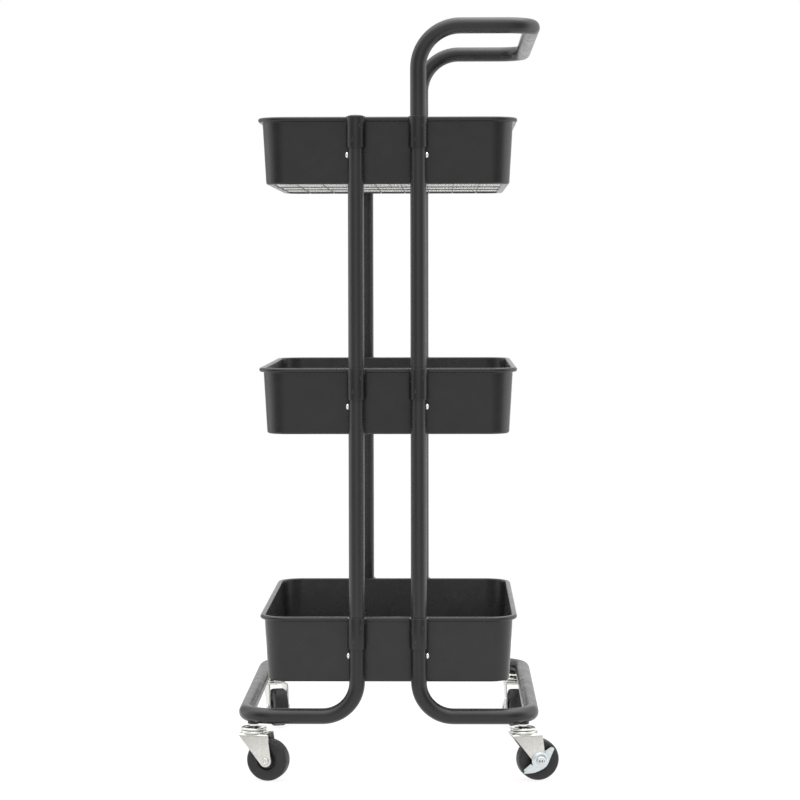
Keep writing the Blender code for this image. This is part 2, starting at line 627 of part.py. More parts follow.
def caster(name, frame, materials):
    """One caster with its swivel empty on the swivel axis and its axle empty on the axle."""
    x_sign, y_sign, trail_angle, braked = CASTERS[name]
    zinc = materials["zinc"]
    foot = (x_sign * CASTER_X, y_sign * CASTER_Y, 0)
    place(f"caster_socket_{name}", caster_socket(materials["frame"]), frame, foot)
    place(f"caster_stem_{name}", caster_stem(zinc), frame, foot)
    swivel = empty(f"swivel_{name}", frame, foot, math.radians(trail_angle))
    axle = empty(f"axle_{name}", swivel, (CASTER_TRAIL, 0, WHEEL_RADIUS))

    fork = place(f"caster_fork_{name}", caster_fork(zinc), swivel)
    combine(fork, mesh_from(fork_plate(), "fork_plate", zinc), "UNION")
    race = bmesh.new()
    pin(race, (0, 0, FORK_TOP_Z - FORK_SHEET / 2), (0, 0, LOWER_RACE_TOP_Z), RACE_RADIUS, RACE_SIDES)
    combine(fork, mesh_from(race, "lower_race", zinc), "UNION")
    holes = bmesh.new()
    pin(holes, (0, 0, FORK_TOP_Z - 2 * FORK_SHEET), (0, 0, LOWER_RACE_TOP_Z + FORK_SHEET),
        STEM_RADIUS + GAP, RACE_SIDES)
    for side in (-1, 1):
        start = side * (FORK_LEG_INNER - FORK_SHEET)
        end = side * (FORK_LEG_OUTER + FORK_SHEET)
        pin(holes, (CASTER_TRAIL, start, WHEEL_RADIUS), (CASTER_TRAIL, end, WHEEL_RADIUS),
            AXLE_RADIUS + GAP, AXLE_SIDES)
    combine(fork, mesh_from(holes, "fork_holes", zinc), "DIFFERENCE")

    plain_reach = FORK_LEG_OUTER + GAP
    brake_reach = plain_reach + LEVER_SHEET + GAP if braked else plain_reach
    place(f"caster_axle_{name}", caster_axle(brake_reach, plain_reach, zinc), axle)
    place(f"caster_wheel_{name}", caster_wheel(materials["rubber"]), axle)
    if braked:
        lever = place(f"brake_lever_{name}", brake_lever(zinc), axle)
        combine(lever, axle_hole(2 * FORK_LEG_OUTER, zinc), "DIFFERENCE")


def build():
    clear_scene()
    materials = {
        "frame": finish("charcoal powder coat", (0.045, 0.046, 0.048), 0.42, 0.0),
        "mesh": finish("galvanised mesh", (0.45, 0.45, 0.44), 0.45, 0.8),
        "zinc": finish("bright zinc plate", (0.72, 0.72, 0.69), 0.28, 1.0),
        "rubber": finish("black moulded wheel", (0.022, 0.022, 0.023), 0.55, 0.0),
        "plug": finish("black plastic", (0.02, 0.02, 0.02), 0.5, 0.0),
    }
    frame = empty("cart", location=(-footprint_centre_x(), 0, 0))
    for side_name, side in SIDES.items():
        base_tube(side_name, side, frame, materials["frame"])
    uprights(frame, materials["frame"])
    handle_tube(frame, materials["frame"])
    end_plugs(frame, materials["plug"])
    trays(frame, materials["frame"])
    floor_panels(frame, materials["mesh"])
    support_grids(frame, materials["frame"])
    screws(frame, materials["zinc"])
    for name in CASTERS:
        caster(name, frame, materials)


build()
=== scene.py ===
"""The looks of the rolling pantry cart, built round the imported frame.

Metres, +Z up.  The frame gives every place: the uprights, trays, swivels and axles.  This script
makes the fine surfaces that stand for the plain solids, their materials, the light and the camera.
"""
import json
import math
import random

import bmesh
import bpy
from mathutils import Matrix, Vector


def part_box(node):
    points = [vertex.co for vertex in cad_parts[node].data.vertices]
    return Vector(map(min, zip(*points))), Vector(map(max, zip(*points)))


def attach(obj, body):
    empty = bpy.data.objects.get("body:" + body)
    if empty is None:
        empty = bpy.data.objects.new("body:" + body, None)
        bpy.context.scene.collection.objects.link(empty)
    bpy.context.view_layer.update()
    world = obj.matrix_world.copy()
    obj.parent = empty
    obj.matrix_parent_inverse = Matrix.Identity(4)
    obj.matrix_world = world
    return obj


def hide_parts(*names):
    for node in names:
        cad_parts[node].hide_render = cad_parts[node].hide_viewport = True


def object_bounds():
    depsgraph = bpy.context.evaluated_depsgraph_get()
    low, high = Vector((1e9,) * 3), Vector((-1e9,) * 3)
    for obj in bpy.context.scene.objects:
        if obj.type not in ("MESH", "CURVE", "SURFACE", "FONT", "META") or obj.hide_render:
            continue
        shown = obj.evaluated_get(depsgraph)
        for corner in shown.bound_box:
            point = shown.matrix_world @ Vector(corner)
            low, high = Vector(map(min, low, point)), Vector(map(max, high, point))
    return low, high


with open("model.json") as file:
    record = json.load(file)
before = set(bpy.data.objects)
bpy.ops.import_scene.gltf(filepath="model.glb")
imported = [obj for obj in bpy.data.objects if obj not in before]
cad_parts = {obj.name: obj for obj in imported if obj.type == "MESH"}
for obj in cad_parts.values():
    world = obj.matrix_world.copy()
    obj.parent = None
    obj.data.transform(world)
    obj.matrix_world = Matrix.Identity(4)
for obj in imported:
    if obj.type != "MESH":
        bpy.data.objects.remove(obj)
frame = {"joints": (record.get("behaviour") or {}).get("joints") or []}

CAD_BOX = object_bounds()
ROOT = "frame"
ENDS = ("front", "rear")
SIDES = ("left", "right")
TRAYS = ("bottom", "middle", "top")
SIDE_SIGN = {"left": -1, "right": 1}
CORNERS = [f"{end}_{side}" for end in ENDS for side in SIDES]
JOINTS = {joint["name"]: joint for joint in frame["joints"]}

# Fineness of round shapes
TUBE_SIDES = 48
BEND_STEPS = 18
LATHE_STEPS = 64
CORNER_STEPS = 14

# Shapes that the frame's boxes don't give, in metres, as the frame's design has them
BASE_LEG_BEND = 0.0415
BASE_CORNER_BEND = 0.035
HANDLE_LEG_BEND = 0.050
HANDLE_CORNER_BEND = 0.032
COLLAR_HEIGHT = 0.037
COLLAR_COAT_BUILD = 0.0005
TRAY_CORNER = 0.028
TRAY_DRAFT = 0.004
TRAY_SHEET = 0.0010
TRAY_FOOT_RADIUS = 0.0030
TRAY_FLANGE = 0.006
FLOOR_INSET = 0.0086
RIM_BEAD_RADIUS = 0.0027
RIM_FLARE_DEPTH = 0.0066
SPIGOT_LENGTH = 0.045

CASTER_TRAIL = 0.018
WHEEL_RADIUS = 0.025
HUB_HALF_WIDTH = 0.0110
FORK_LEG_INNER = 0.0115
FORK_SHEET = 0.0020
FORK_LEG_OUTER = FORK_LEG_INNER + FORK_SHEET
FORK_TOP_Z = 0.0575
FORK_BACK_X = -0.0155
FORK_FRONT_X = 0.0205
FORK_PLATE_FRONT_X = 0.0165
FORK_FOOT_RADIUS = 0.0070
RACE_RADIUS = 0.0156
LEVER_SHEET = 0.0015
LEVER_BOSS_RADIUS = 0.0105


# Places read from the frame


def middle(node):
    low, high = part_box(node)
    return (low + high) / 2


def upright_axis(end, side):
    spot = middle(f"upright_lower_{end}_{side}")
    return spot.x, spot.y


def half_size(node):
    low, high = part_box(node)
    return (high - low) / 2


TUBE_RADIUS = half_size("upright_lower_front_left").x
CART_X = middle("mesh_floor_top").x
UPRIGHT_DX = upright_axis("front", "right")[0] - CART_X
UPRIGHT_Y = upright_axis("rear", "right")[1]
COLLAR_RADIUS = half_size("tray_top").y - UPRIGHT_Y
WALL_HALF_X = half_size("mesh_floor_top").x + FLOOR_INSET
WALL_HALF_Y = half_size("mesh_floor_top").y + FLOOR_INSET
TRAY_HEIGHT = 2 * half_size("tray_top").z
RIM_Z = {tray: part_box(f"tray_{tray}")[1].z for tray in TRAYS}
SECTION_JOINT_Z = {tray: RIM_Z[tray] - COLLAR_HEIGHT / 2 for tray in TRAYS}


# Making pieces


def piece_from(bm, name, material, body, replaces=(), matrix=None, sharp=35, bevel=0.0):
    """Turns a bmesh into a finished piece that rides on a body."""
    bmesh.ops.remove_doubles(bm, verts=bm.verts, dist=1e-7)
    bmesh.ops.recalc_face_normals(bm, faces=bm.faces)
    mesh = bpy.data.meshes.new(name)
    bm.to_mesh(mesh)
    bm.free()
    return piece_of(mesh, name, material, body, replaces, matrix, sharp, bevel)


def piece_of(mesh, name, material, body, replaces=(), matrix=None, sharp=35, bevel=0.0):
    mesh.materials.clear()
    mesh.materials.append(material)
    mesh.shade_smooth()
    mesh.set_sharp_from_angle(angle=math.radians(sharp))
    piece = bpy.data.objects.new(name, mesh)
    bpy.context.scene.collection.objects.link(piece)
    if matrix is not None:
        piece.matrix_world = matrix
    if bevel:
        edge = piece.modifiers.new("edge", "BEVEL")
        edge.width = bevel
        edge.segments = 2
        edge.limit_method = "ANGLE"
        edge.angle_limit = math.radians(40)
        edge.harden_normals = False
    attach(piece, body)
    if replaces:
        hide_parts(*replaces)
    return piece


def boolean(bm, tool_bm, operation):
    """The exact union, difference or intersection of two bmeshes, as a new bmesh."""
    pair = []
    for shape in (bm, tool_bm):
        bmesh.ops.recalc_face_normals(shape, faces=shape.faces)
        mesh = bpy.data.meshes.new("boolean_part")
        shape.to_mesh(mesh)
        shape.free()
        part = bpy.data.objects.new("boolean_part", mesh)
        bpy.context.scene.collection.objects.link(part)
        pair.append(part)
    base, tool = pair
    modifier = base.modifiers.new("boolean", "BOOLEAN")
    modifier.operation = operation
    modifier.solver = "EXACT"
    modifier.object = tool
    result = bmesh.new()
    result.from_object(base, bpy.context.evaluated_depsgraph_get())
    for part in pair:
        mesh = part.data
        bpy.data.objects.remove(part)
        bpy.data.meshes.remove(mesh)
    return result


def arc(centre, radius, start, end, steps):
    """Points on an arc, angles in degrees."""
    angles = [math.radians(start + (end - start) * step / steps) for step in range(steps + 1)]
    return [(centre[0] + radius * math.cos(a), centre[1] + radius * math.sin(a)) for a in angles]


def lathe(profile, steps=LATHE_STEPS):
    """A body turned about Z from (radius, z) points; points on the axis become poles."""
    bm = bmesh.new()
    verts = [bm.verts.new((radius, 0, z)) for radius, z in profile]
    edges = [bm.edges.new(pair) for pair in zip(verts, verts[1:] + verts[:1])]
    bmesh.ops.spin(bm, geom=verts + edges, cent=(0, 0, 0), axis=(0, 0, 1),
                   angle=math.tau, steps=steps, use_merge=True)
    bmesh.ops.remove_doubles(bm, verts=bm.verts, dist=1e-7)
    bmesh.ops.dissolve_degenerate(bm, dist=1e-7, edges=bm.edges)
    return bm


def turned_to_y(bm):
    """Lays a lathe body's Z axis along Y."""
    bmesh.ops.rotate(bm, verts=bm.verts, cent=(0, 0, 0),
                     matrix=Matrix.Rotation(-math.pi / 2, 3, "X"))
    return bm


def pin(bm, start, end, radius, sides):
    """Adds a solid round pin from start to end."""
    axis = Vector(end) - Vector(start)
    turn = axis.to_track_quat("Z", "X").to_matrix().to_4x4()
    place = Matrix.Translation((Vector(start) + Vector(end)) / 2) @ turn
    bmesh.ops.create_cone(bm, cap_ends=True, segments=sides, radius1=radius, radius2=radius,
                          depth=axis.length, matrix=place)


def prism(outline, low, high, axis="Z"):
    """A flat outline thickened along Z, or along Y when the outline is (x, z) points."""
    bm = bmesh.new()
    rings = []
    for level in (low, high):
        if axis == "Z":
            rings.append([bm.verts.new((a, b, level)) for a, b in outline])
        else:
            rings.append([bm.verts.new((a, level, b)) for a, b in outline])
    skin(bm, rings)
    return bm


def join_rings(bm, ring, other):
    for index in range(len(ring)):
        following = (index + 1) % len(ring)
        bm.faces.new((ring[index], ring[following], other[following], other[index]))


def skin(bm, rings):
    """Joins rings into a tube and caps both ends."""
    for ring, following in zip(rings, rings[1:]):
        join_rings(bm, ring, following)
    bm.faces.new(rings[0])
    bm.faces.new(rings[-1])


def rounded_rectangle(half_x, half_y, radius, steps=CORNER_STEPS):
    points = []
    for x_sign, y_sign, start in ((1, 1, 0), (-1, 1, 90), (-1, -1, 180), (1, -1, 270)):
        centre = (x_sign * (half_x - radius), y_sign * (half_y - radius))
        points += arc(centre, radius, start, start + 90, steps)
    return points


def bent_path(corners, bends):
    """Points and directions along straight runs joined by round bends at the inner corners."""
    corners = [Vector(corner) for corner in corners]
    path = [(corners[0], (corners[1] - corners[0]).normalized())]
    for before, corner, after, bend in zip(corners, corners[1:], corners[2:], bends):
        inward = (corner - before).normalized()
        outward = (after - corner).normalized()
        reach = bend * math.tan(inward.angle(outward) / 2)
        axis = inward.cross(outward).normalized()
        centre = corner - inward * reach + axis.cross(inward) * bend
        for step in range(BEND_STEPS + 1):
            turn = Matrix.Rotation(inward.angle(outward) * step / BEND_STEPS, 3, axis)
            path.append((centre + turn @ (corner - inward * reach - centre), turn @ inward))
    path.append((corners[-1], (corners[-1] - corners[-2]).normalized()))
    return path


def swept(bm, path, radius):
    """A capped round bar along a path of (point, direction)."""
    rings = []
    across = Vector((0, 1, 0))
    for point, direction in path:
        across = (across - direction * across.dot(direction)).normalized()
        over = direction.cross(across)
        rings.append([
            bm.verts.new(point + (across * math.cos(a) + over * math.sin(a)) * radius)
            for a in (math.tau * side / TUBE_SIDES for side in range(TUBE_SIDES))
        ])
    skin(bm, rings)


# Materials


def fill_ramp(node, stops):
    """Sets a colour ramp's (position, grey or colour) stops."""
    elements = node.color_ramp.elements
    while len(elements) < len(stops):
        elements.new(0.5)
    for element, (position, value) in zip(elements, stops):
        element.position = position
        colour = (value, value, value) if isinstance(value, (int, float)) else value
        element.color = (*colour, 1)


class Nodes:
    """Short spellings for building one material's node tree."""

    def __init__(self, name):
        self.material = bpy.data.materials.new(name)
        self.material.use_nodes = True
        self.tree = self.material.node_tree
        self.shader = self.tree.nodes["Principled BSDF"]
        self.place = self.add("ShaderNodeTexCoord").outputs["Object"]

    def add(self, kind, **settings):
        node = self.tree.nodes.new(kind)
        for key, value in settings.items():
            if key in node.inputs:
                node.inputs[key].default_value = value
            else:
                setattr(node, key, value)
        return node

    def link(self, output, node, socket):
        self.tree.links.new(output, node.inputs[socket])

    def noise(self, scale, detail=2.0, rough=0.5, stretch=None):
        """A noise pattern; scale is in features per metre, stretch squeezes it along an axis."""
        node = self.add("ShaderNodeTexNoise", Scale=scale, Detail=detail, Roughness=rough)
        source = self.place
        if stretch:
            mapping = self.add("ShaderNodeMapping")
            mapping.inputs["Scale"].default_value = stretch
            self.link(source, mapping, "Vector")
            source = mapping.outputs["Vector"]
        self.link(source, node, "Vector")
        return node.outputs["Fac"]

    def ramp(self, factor, stops):
        """A colour ramp of (position, grey or colour) stops."""
        node = self.add("ShaderNodeValToRGB")
        fill_ramp(node, stops)
        self.link(factor, node, "Fac")
        return node.outputs["Color"]

    def mix(self, factor, first, second):
        """Mixes two colours, each an output or a constant colour."""
        node = self.add("ShaderNodeMix", data_type="RGBA")
        for socket, value in ((6, first), (7, second)):
            if isinstance(value, tuple):
                node.inputs[socket].default_value = (*value, 1)
            else:
                self.tree.links.new(value, node.inputs[socket])
        self.tree.links.new(factor, node.inputs[0])
        return node.outputs[2]

    def bumps(self, *layers):
        """Chains bump layers of (height output, strength, distance) into the shader's normal."""
        normal = None
        for height, strength, distance in layers:
            node = self.add("ShaderNodeBump", Strength=strength, Distance=distance)
            self.link(height, node, "Height")
            if normal is not None:
                self.link(normal, node, "Normal")
            normal = node.outputs["Normal"]
        self.link(normal, self.shader, "Normal")

    def edges(self, low, high):
        """A mask that is bright on worn convex edges."""
        geometry = self.add("ShaderNodeNewGeometry")
        return self.ramp(geometry.outputs["Pointiness"], [(low, 0.0), (high, 1.0)])

    def set(self, **values):
        for name, value in values.items():
            self.shader.inputs[name.replace("_", " ")].default_value = value


def powder_coat(name, dark, light, scuffs=0.0):
    """Satin charcoal powder coat: orange peel, faint clouding, rubbed edges and optional scuffs."""
    n = Nodes(name)
    clouds = n.noise(22, 4.0, 0.6)
    speck = n.noise(5200, 2.0, 0.6)
    colour = n.mix(n.ramp(clouds, [(0.35, 0.0), (0.70, 1.0)]), dark, light)
    flecks = n.ramp(speck, [(0.66, 0.0), (0.80, 0.55)])
    colour = n.mix(flecks, colour, tuple(channel * 2.6 for channel in light))
    rub = n.edges(0.53, 0.62)
    colour = n.mix(rub, colour, tuple(channel * 2.2 for channel in light))
    roughness = n.ramp(n.noise(60, 3.0, 0.65), [(0.30, 0.25), (0.72, 0.36)])
    if scuffs:
        marks = n.noise(420, 1.0, 0.5, stretch=(1.0, 0.35, 0.18))
        mask = n.ramp(marks, [(0.655, 0.0), (0.70, scuffs)])
        colour = n.mix(mask, colour, tuple(channel * 7.0 for channel in light))
        roughness = n.mix(mask, roughness, (0.62, 0.62, 0.62))
    n.link(colour, n.shader, "Base Color")
    n.link(roughness, n.shader, "Roughness")
    n.bumps((n.noise(38, 2.0, 0.5), 0.16, 0.0015), (n.noise(1500, 2.0, 0.5), 0.13, 0.00016),
            (speck, 0.10, 0.00004))
    n.set(Specular_IOR_Level=0.5)
    return n.material


def zinc_plate(name, dark, light, roughness=(0.22, 0.40)):
    """Bright zinc plate: soft crystalline patches, rolling grain and small handling marks."""
    n = Nodes(name)
    patches = n.noise(260, 3.0, 0.6)
    colour = n.mix(n.ramp(patches, [(0.32, 0.0), (0.70, 1.0)]), dark, light)
    stains = n.ramp(n.noise(120, 4.0, 0.7), [(0.62, 0.0), (0.82, 0.35)])
    colour = n.mix(stains, colour, tuple(channel * 0.70 for channel in dark))
    low, high = roughness
    rolling = n.noise(900, 2.0, 0.5, stretch=(1.0, 1.0, 0.12))
    n.link(colour, n.shader, "Base Color")
    n.link(n.ramp(n.noise(310, 3.0, 0.6), [(0.30, low), (0.72, high)]), n.shader, "Roughness")
    n.bumps((n.noise(170, 2.0, 0.5), 0.05, 0.0004), (rolling, 0.05, 0.00006))
    n.set(Metallic=1.0)
    return n.material


def moulded(name, dark, light, roughness=(0.42, 0.62), dust=0.0):
    """Moulded black plastic or hard rubber with a fine grain, and dust where it rolls."""
    n = Nodes(name)
    colour = n.mix(n.ramp(n.noise(90, 4.0, 0.6), [(0.35, 0.0), (0.70, 1.0)]), dark, light)
    if dust:
        grit = n.ramp(n.noise(700, 5.0, 0.7), [(0.50, 0.0), (0.74, dust)])
        colour = n.mix(grit, colour, (0.16, 0.15, 0.14))
    rub = n.edges(0.54, 0.66)
    colour = n.mix(rub, colour, tuple(channel * 2.0 for channel in light))
    low, high = roughness
    n.link(colour, n.shader, "Base Color")
    n.link(n.ramp(n.noise(240, 3.0, 0.6), [(0.30, low), (0.72, high)]), n.shader, "Roughness")
    n.bumps((n.noise(2600, 2.0, 0.5), 0.18, 0.00010), (n.noise(120, 2.0, 0.5), 0.10, 0.0004))
    return n.material


def studio_white(name, grey, glow):
    """The pale floor: a matt light table with a very faint tooth."""
    n = Nodes(name)
    tone = n.ramp(n.noise(3.0, 2.0, 0.5), [(0.3, grey * 0.985), (0.7, grey)])
    n.link(tone, n.shader, "Base Color")
    n.set(Roughness=0.85, Specular_IOR_Level=0.2, Emission_Color=(1, 1, 1, 1),
          Emission_Strength=glow)
    return n.material


COAT = powder_coat("frame_powder_coat", (0.0068, 0.0068, 0.0070), (0.0112, 0.0112, 0.0114))
# The handle has the same charcoal coat as the frame; this copy is painted lighter to stand in for
# the extra light the handle catches from above and from the floor (painted light).
HANDLE_COAT_PAINTED_LIGHTER = powder_coat("handle_coat_painted_lighter", (0.0130, 0.0130, 0.0132), (0.0180, 0.0180, 0.0182))
TRAY_COAT = powder_coat("tray_powder_coat", (0.0074, 0.0074, 0.0073), (0.0120, 0.0119, 0.0116))
COLLAR_COAT = powder_coat("collar_powder_coat", (0.0068, 0.0068, 0.0069), (0.0112, 0.0112, 0.0112),
                          scuffs=0.55)
MESH_ZINC = zinc_plate("mesh_zinc", (0.84, 0.84, 0.83), (0.92, 0.92, 0.91), roughness=(0.45, 0.62))
WIRE_COAT = powder_coat("wire_coat", (0.020, 0.020, 0.020), (0.032, 0.032, 0.032))
ZINC = zinc_plate("zinc_plate", (0.66, 0.65, 0.61), (0.74, 0.73, 0.70))
LEVER_ZINC = zinc_plate("lever_zinc", (0.60, 0.65, 0.66), (0.70, 0.75, 0.77),
                        roughness=(0.22, 0.34))
RACE_ZINC = zinc_plate("race_zinc", (0.70, 0.70, 0.67), (0.80, 0.80, 0.77), roughness=(0.08, 0.18))
SCREW_ZINC = zinc_plate("screw_zinc", (0.80, 0.80, 0.80), (0.92, 0.92, 0.92),
                        roughness=(0.14, 0.26))
WHEEL_BLACK = moulded("wheel_black", (0.0090, 0.0088, 0.0088), (0.0160, 0.0156, 0.0154), dust=0.08)
PLUG_BLACK = moulded("plug_black", (0.010, 0.010, 0.010), (0.016, 0.016, 0.016),
                     roughness=(0.35, 0.5))
SOCKET_BLACK = moulded("socket_black", (0.006, 0.006, 0.006), (0.012, 0.012, 0.012))


# Tube frame


def looped_tube(leg_x, bar_x, open_z, run_z, leg_bend, corner_bend):
    """One bent tube: a leg, a run outwards, a bar along Y, and back the same way."""
    corners = [
        (leg_x, -UPRIGHT_Y, open_z), (leg_x, -UPRIGHT_Y, run_z), (bar_x, -UPRIGHT_Y, run_z),
        (bar_x, UPRIGHT_Y, run_z), (leg_x, UPRIGHT_Y, run_z), (leg_x, UPRIGHT_Y, open_z),
    ]
    bm = bmesh.new()
    swept(bm, bent_path(corners, [leg_bend, corner_bend, corner_bend, leg_bend]), TUBE_RADIUS)
    return bm


def base_tube(side):
    sign = SIDE_SIGN[side]
    low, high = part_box(f"base_tube_{side}")
    bar_x = (high.x if sign > 0 else low.x) - sign * TUBE_RADIUS
    bm = looped_tube(upright_axis("front", side)[0], bar_x, high.z, low.z + TUBE_RADIUS,
                     BASE_LEG_BEND, BASE_CORNER_BEND)
    piece_from(bm, f"base_{side}", COAT, ROOT, [f"base_tube_{side}"])


def handle():
    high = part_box("handle_tube")[1]
    bm = looped_tube(upright_axis("front", "right")[0], high.x - TUBE_RADIUS,
                     SECTION_JOINT_Z["top"], high.z - TUBE_RADIUS,
                     HANDLE_LEG_BEND, HANDLE_CORNER_BEND)
    # The handle gets the lighter copy of the frame coat: painted light.
    piece_from(bm, "push_handle", HANDLE_COAT_PAINTED_LIGHTER, ROOT, ["handle_tube"])


def upright(span, end, side):
    node = f"upright_{span}_{end}_{side}"
    low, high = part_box(node)
    x, y = upright_axis(end, side)
    bm = bmesh.new()
    start = Vector((x, y, low.z + SPIGOT_LENGTH))
    carries_handle = span == "upper" and side == "right"
    stop = Vector((x, y, SECTION_JOINT_Z["top"] if carries_handle else high.z))
    up = Vector((0, 0, 1))
    swept(bm, [(start, up), (stop, up)], TUBE_RADIUS)
    piece_from(bm, f"{span}_upright_{end}_{side}", COAT, ROOT, [node])


def end_plug(end):
    node = f"end_plug_{end}"
    rim = RIM_Z["top"]
    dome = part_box(node)[1].z - rim
    profile = [(0, dome), (TUBE_RADIUS * 0.35, dome * 0.97), (TUBE_RADIUS * 0.65, dome * 0.84),
               (TUBE_RADIUS * 0.86, dome * 0.60), (TUBE_RADIUS * 0.97, dome * 0.36),
               (TUBE_RADIUS * 1.0, dome * 0.18), (TUBE_RADIUS * 0.99, 0.0001), (0, 0.0001)]
    place = Matrix.Translation((middle(node).x, middle(node).y, rim))
    piece_from(lathe(profile), f"plug_{end}", PLUG_BLACK, ROOT, [node], place)


# Trays

WELD_LENGTH = 0.015
WELD_RADIUS = 0.0014
WELD_DROP = 0.0066
WELD_STEPS = 26
WELD_SIDES = 12


def tray_profile():
    """Closed section of the tray wall: (offset from the wall outline, height from the rim top)."""
    foot_z = -TRAY_HEIGHT
    bead = (RIM_BEAD_RADIUS, -RIM_BEAD_RADIUS)
    foot_centre = (-TRAY_DRAFT - TRAY_FOOT_RADIUS, foot_z + TRAY_FOOT_RADIUS)
    flange_edge = foot_centre[0] - TRAY_FLANGE
    lip_radius = 0.0022
    lip = arc((-TRAY_SHEET + lip_radius, -lip_radius), lip_radius, 180, 90, 4)
    roll = arc(bead, RIM_BEAD_RADIUS, 84, -82, 12)
    flare_radius = RIM_FLARE_DEPTH - 2 * RIM_BEAD_RADIUS
    flare = arc((flare_radius, -RIM_FLARE_DEPTH), flare_radius, 100, 180, 4)
    foot = arc(foot_centre, TRAY_FOOT_RADIUS, 0, -90, 6)
    flange = [(flange_edge, foot_z), (flange_edge, foot_z + TRAY_SHEET)]
    inside = arc(foot_centre, TRAY_FOOT_RADIUS - TRAY_SHEET, -90, 0, 5)
    return lip + roll + flare + foot + flange + inside


def tray_shell():
    """The pressed tray, its section carried round the outline, cleared where the collars pass."""
    bm = bmesh.new()
    rings = []
    for offset, z in tray_profile():
        outline = rounded_rectangle(WALL_HALF_X + offset, WALL_HALF_Y + offset,
                                    TRAY_CORNER + offset)
        rings.append([bm.verts.new((x, y, z)) for x, y in outline])
    for ring, following in zip(rings, rings[1:] + rings[:1]):
        join_rings(bm, ring, following)
    notches = bmesh.new()
    for end in (-1, 1):
        for side in (-1, 1):
            x, y = side * UPRIGHT_DX, end * UPRIGHT_Y
            pin(notches, (x, y, -COLLAR_HEIGHT), (x, y, 0.002), COLLAR_RADIUS - 0.0007, TUBE_SIDES)
    return boolean(bm, notches, "DIFFERENCE")


def collar():
    """A sleeve with softly rounded edges; its top is level with the rim."""
    bore = TUBE_RADIUS + 0.0001
    edge = 0.0006
    outer = COLLAR_RADIUS + COLLAR_COAT_BUILD
    profile = [(bore, 0.0), *arc((outer - edge, -edge), edge, 90, 0, 4),
               *arc((outer - edge, edge - COLLAR_HEIGHT), edge, 0, -90, 4), (bore, -COLLAR_HEIGHT)]
    return lathe(profile)


def weld_bead():
    """A short rippled weld, laid upright."""
    bm = bmesh.new()
    rings = []
    for index in range(WELD_STEPS + 1):
        along = index / WELD_STEPS
        swell = math.sin(math.pi * along) ** 0.35
        ripple = 1 + 0.10 * math.cos(index * math.pi)
        z, size = -WELD_LENGTH * along, max(1e-5, WELD_RADIUS * swell * ripple)
        rings.append([bm.verts.new((size * math.cos(a), size * math.sin(a), z))
                      for a in (math.tau * side / WELD_SIDES for side in range(WELD_SIDES))])
    skin(bm, rings)
    return bm


def mesh_data(bm, name):
    bmesh.ops.remove_doubles(bm, verts=bm.verts, dist=1e-7)
    bmesh.ops.recalc_face_normals(bm, faces=bm.faces)
    mesh = bpy.data.meshes.new(name)
    bm.to_mesh(mesh)
    bm.free()
    return mesh


def trays():
    shell = mesh_data(tray_shell(), "tray_shell")
    sleeve = mesh_data(collar(), "collar")
    weld = mesh_data(weld_bead(), "collar_weld")
    for tray in TRAYS:
        rim = RIM_Z[tray]
        place = Matrix.Translation((CART_X, 0, rim))
        piece_of(shell.copy(), f"{tray}_tray", TRAY_COAT, ROOT, [f"tray_{tray}"],
                 place, 30)
        for end in ENDS:
            for side in SIDES:
                x, y = upright_axis(end, side)
                piece_of(sleeve.copy(), f"{tray}_collar_{end}_{side}", COLLAR_COAT, ROOT,
                         (), Matrix.Translation((x, y, rim)), 40)
                inward = -1 if y > 0 else 1
                bead_y = y + inward * (COLLAR_RADIUS * 0.90)
                for letter, edge_sign in (("a", -1), ("b", 1)):
                    bead_x = x + edge_sign * COLLAR_RADIUS * 0.44
                    spot = Matrix.Translation((bead_x, bead_y, rim - WELD_DROP))
                    piece_of(weld.copy(), f"{tray}_weld_{end}_{side}_{letter}", COLLAR_COAT, ROOT,
                             (), spot)


# Tray floors

STRAND_WIDTH = 0.0016
STRAND_THICK = 0.0007
DIAMOND_LONG = 0.0085
DIAMOND_SHORT = 0.0046
MESH_EDGE = 0.004
WIRES_LENGTHWISE = 8
WIRE_PITCH_X = 0.0314
WIRE_PITCH_Y = 0.094
WIRE_RADIUS_SHARE = 0.27
WIRE_SIDES = 14


def mesh_floor():
    """Flattened expanded metal: zigzag strands that meet at their knuckles, with a solid edge."""
    half_x, half_y = half_size("mesh_floor_top").x, half_size("mesh_floor_top").y
    corner = TRAY_CORNER - FLOOR_INSET
    bm = bmesh.new()
    rows = int(2 * half_x / DIAMOND_SHORT)
    pitch = 2 * (half_x - MESH_EDGE) / rows
    for row in range(rows):
        x = -half_x + MESH_EDGE + pitch * (row + 0.5)
        beyond = max(0.0, abs(x) - (half_x - corner))
        reach = half_y - corner + math.sqrt(max(0.0, corner ** 2 - beyond ** 2)) - MESH_EDGE * 0.5
        steps = int(2 * reach / (DIAMOND_LONG / 2))
        length = 2 * reach / steps
        swing = pitch / 2
        rings = []
        for step in range(steps + 1):
            sign = 1 if (step + row) % 2 else -1
            centre_x = x + sign * swing
            y = -reach + step * length
            rings.append([bm.verts.new((centre_x + dx * STRAND_WIDTH / 2, y, dz * STRAND_THICK / 2))
                          for dx, dz in ((-1, -1), (1, -1), (1, 1), (-1, 1))])
        skin(bm, rings)
    outer = rounded_rectangle(half_x, half_y, corner, 8)
    inner = rounded_rectangle(half_x - MESH_EDGE, half_y - MESH_EDGE, corner - MESH_EDGE, 8)
    levels = []
    for outline, z in ((outer, -1), (outer, 1), (inner, 1), (inner, -1)):
        levels.append([bm.verts.new((px, py, z * STRAND_THICK * 0.6)) for px, py in outline])
    for ring, following in zip(levels, levels[1:] + levels[:1]):
        join_rings(bm, ring, following)
    return mesh_data(bm, "expanded_metal")


